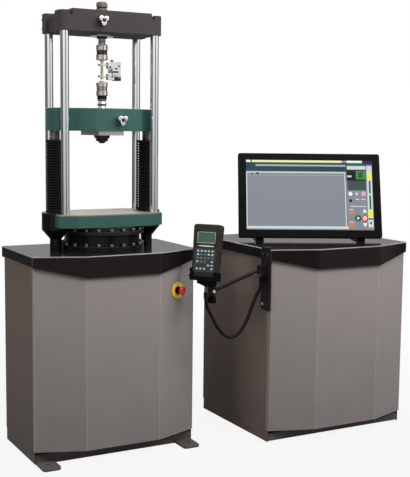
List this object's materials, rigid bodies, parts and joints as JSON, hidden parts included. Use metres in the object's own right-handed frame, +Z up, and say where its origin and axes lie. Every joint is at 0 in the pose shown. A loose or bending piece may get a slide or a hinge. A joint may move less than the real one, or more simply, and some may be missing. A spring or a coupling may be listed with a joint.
{
  "type": "universal testing machine",
  "caption": "Floor-standing hydraulic universal testing machine: column load frame on a bow-front cabinet, with a control console carrying a tilting display and a handset on a swing arm.",
  "frame": {"origin": "floor level, on the vertical load axis through the middle of the table and both crossheads", "axes": "+Z up along the load axis, +X towards the console, -Y towards the bowed fronts and the operator"},
  "size_m": [1.851, 0.786, 2.007],
  "materials": {
    "panel_grey": "satin",
    "side_brown": "satin",
    "cover_dark": "satin",
    "base_black": "gloss",
    "green_paint": "satin",
    "top_paint": "satin",
    "ground_steel": "ground",
    "bright_steel": "turned",
    "black_steel": "blackened",
    "chrome": "polished",
    "bronze": "turned",
    "clip_metal": "satin",
    "bellows_rubber": "matt",
    "cord_rubber": "matt",
    "black_plastic": "satin",
    "screen": "gloss",
    "window_green": "gloss",
    "keypad": "satin",
    "stop_yellow": "gloss",
    "stop_red": "gloss"
  },
  "bodies": {
    "base": {"base_frame": "base_black", "frame_side_left": "side_brown", "frame_side_right": "side_brown", "frame_rear_panel": "side_brown", "frame_front_panel": "panel_grey", "frame_cover": "cover_dark", "cylinder_head": "base_black", "cylinder_barrel": "black_steel", "drive_motor": "base_black", "guide_towers": "base_black", "bellows_left": "bellows_rubber", "bellows_right": "bellows_rubber", "estop_plate": "stop_yellow", "estop_body": "black_plastic", "console_frame": "base_black", "console_side_left": "side_brown", "console_side_right": "side_brown", "console_rear_panel": "side_brown", "console_front_panel": "panel_grey", "console_cover": "cover_dark", "power_pack": "base_black", "pendant_bracket": "base_black", "display_feet": "black_plastic", "cord": "cord_rubber"},
    "ram_frame": {"ram": "chrome", "table": "green_paint", "table_plate": "ground_steel", "column_front_left": "chrome", "column_front_right": "chrome", "column_back_left": "chrome", "column_back_right": "chrome", "top_crosshead": "top_paint", "upper_rod": "bright_steel", "upper_nut": "black_steel", "upper_flange": "black_steel", "upper_holder": "bright_steel", "specimen": "bright_steel", "extensometer": "clip_metal"},
    "crosshead": {"crosshead": "green_paint", "retainer_plate": "bright_steel", "lower_rod": "black_steel", "lower_nut": "bright_steel", "lower_holder": "bright_steel", "screw_left": "bright_steel", "screw_right": "bright_steel"},
    "nut_left": {"drive_nut_left": "bronze"},
    "nut_right": {"drive_nut_right": "bronze"},
    "worm_shaft": {"drive_shaft": "black_steel"},
    "knob_upper": {"upper_knob": "chrome"},
    "knob_lower": {"lower_knob": "chrome"},
    "stop_plunger": {"estop_stem": "black_plastic"},
    "stop_button": {"estop_head": "stop_red"},
    "arm": {"pendant_arm": "base_black"},
    "handset_holder": {"handset_cradle": "black_plastic", "handset": "black_plastic", "handset_window": "window_green", "handset_keypad": "keypad"},
    "clamp_knob": {"pendant_knob": "black_plastic"},
    "display": {"display": "black_plastic", "display_screen": "screen"}
  },
  "joints": [
    {"name": "ram_slide", "type": "slide", "parent": "base", "child": "ram_frame", "axis": [0, 0, 1], "range_m": [0, 0.1]},
    {"name": "nut_left_turn", "type": "hinge", "parent": "base", "child": "nut_left", "pos_m": [-0.221, 0, 0.832], "axis": [0, 0, 1], "range_deg": [-5398, 0]},
    {"name": "nut_right_turn", "type": "hinge", "parent": "base", "child": "nut_right", "pos_m": [0.221, 0, 0.832], "axis": [0, 0, 1], "range_deg": [-5400, 0]},
    {"name": "shaft_turn", "type": "hinge", "parent": "base", "child": "worm_shaft", "pos_m": [0, 0.0945, 0.832], "axis": [1, 0, 0], "range_deg": [-54000, 0]},
    {"name": "crosshead_slide", "type": "slide", "parent": "base", "child": "crosshead", "axis": [0, 0, 1], "range_m": [-0.15, 0], "deforming": ["bellows_left", "bellows_right"]},
    {"name": "upper_knob_turn", "type": "hinge", "parent": "ram_frame", "child": "knob_upper", "pos_m": [-0.052, -0.127, 1.91], "axis": [0, -1, 0], "range_deg": [-180, 180]},
    {"name": "lower_knob_turn", "type": "hinge", "parent": "crosshead", "child": "knob_lower", "pos_m": [0.04, -0.12, 1.487], "axis": [0, -1, 0], "range_deg": [-180, 180]},
    {"name": "estop_press", "type": "slide", "parent": "base", "child": "stop_plunger", "axis": [-0.3502, 0.9367, 0], "range_m": [0, 0.006], "stiffness_N_per_m": 1500},
    {"name": "estop_twist", "type": "hinge", "parent": "stop_plunger", "child": "stop_button", "pos_m": [0.27985, -0.20757, 0.727], "axis": [0.3502, -0.9367, 0], "range_deg": [-45, 0], "stiffness_Nm_per_rad": 0.3},
    {"name": "arm_swing", "type": "hinge", "parent": "base", "child": "arm", "pos_m": [0.635, -0.336, 0.816], "axis": [0, 0, 1], "range_deg": [-5, 80], "deforming": ["cord"]},
    {"name": "handset_swivel", "type": "hinge", "parent": "arm", "child": "handset_holder", "pos_m": [0.387, -0.336, 0.75], "axis": [0, 0, 1], "range_deg": [-40, 40]},
    {"name": "clamp_knob_turn", "type": "hinge", "parent": "arm", "child": "clamp_knob", "pos_m": [0.387, -0.336, 0.7], "axis": [0, 0, 1], "range_deg": [-180, 180]},
    {"name": "display_tilt", "type": "hinge", "parent": "base", "child": "display", "pos_m": [1.04343, -0.14729, 0.93518], "axis": [0.8949, -0.4462, 0], "range_deg": [-10, 15]}
  ],
  "couplings": [
    {"joint": "nut_right_turn", "follows": "nut_left_turn", "ratio": 1},
    {"joint": "shaft_turn", "follows": "nut_left_turn", "ratio": 10},
    {"joint": "crosshead_slide", "follows": "nut_left_turn", "m_per_rad": 0.0015915}
  ]
}
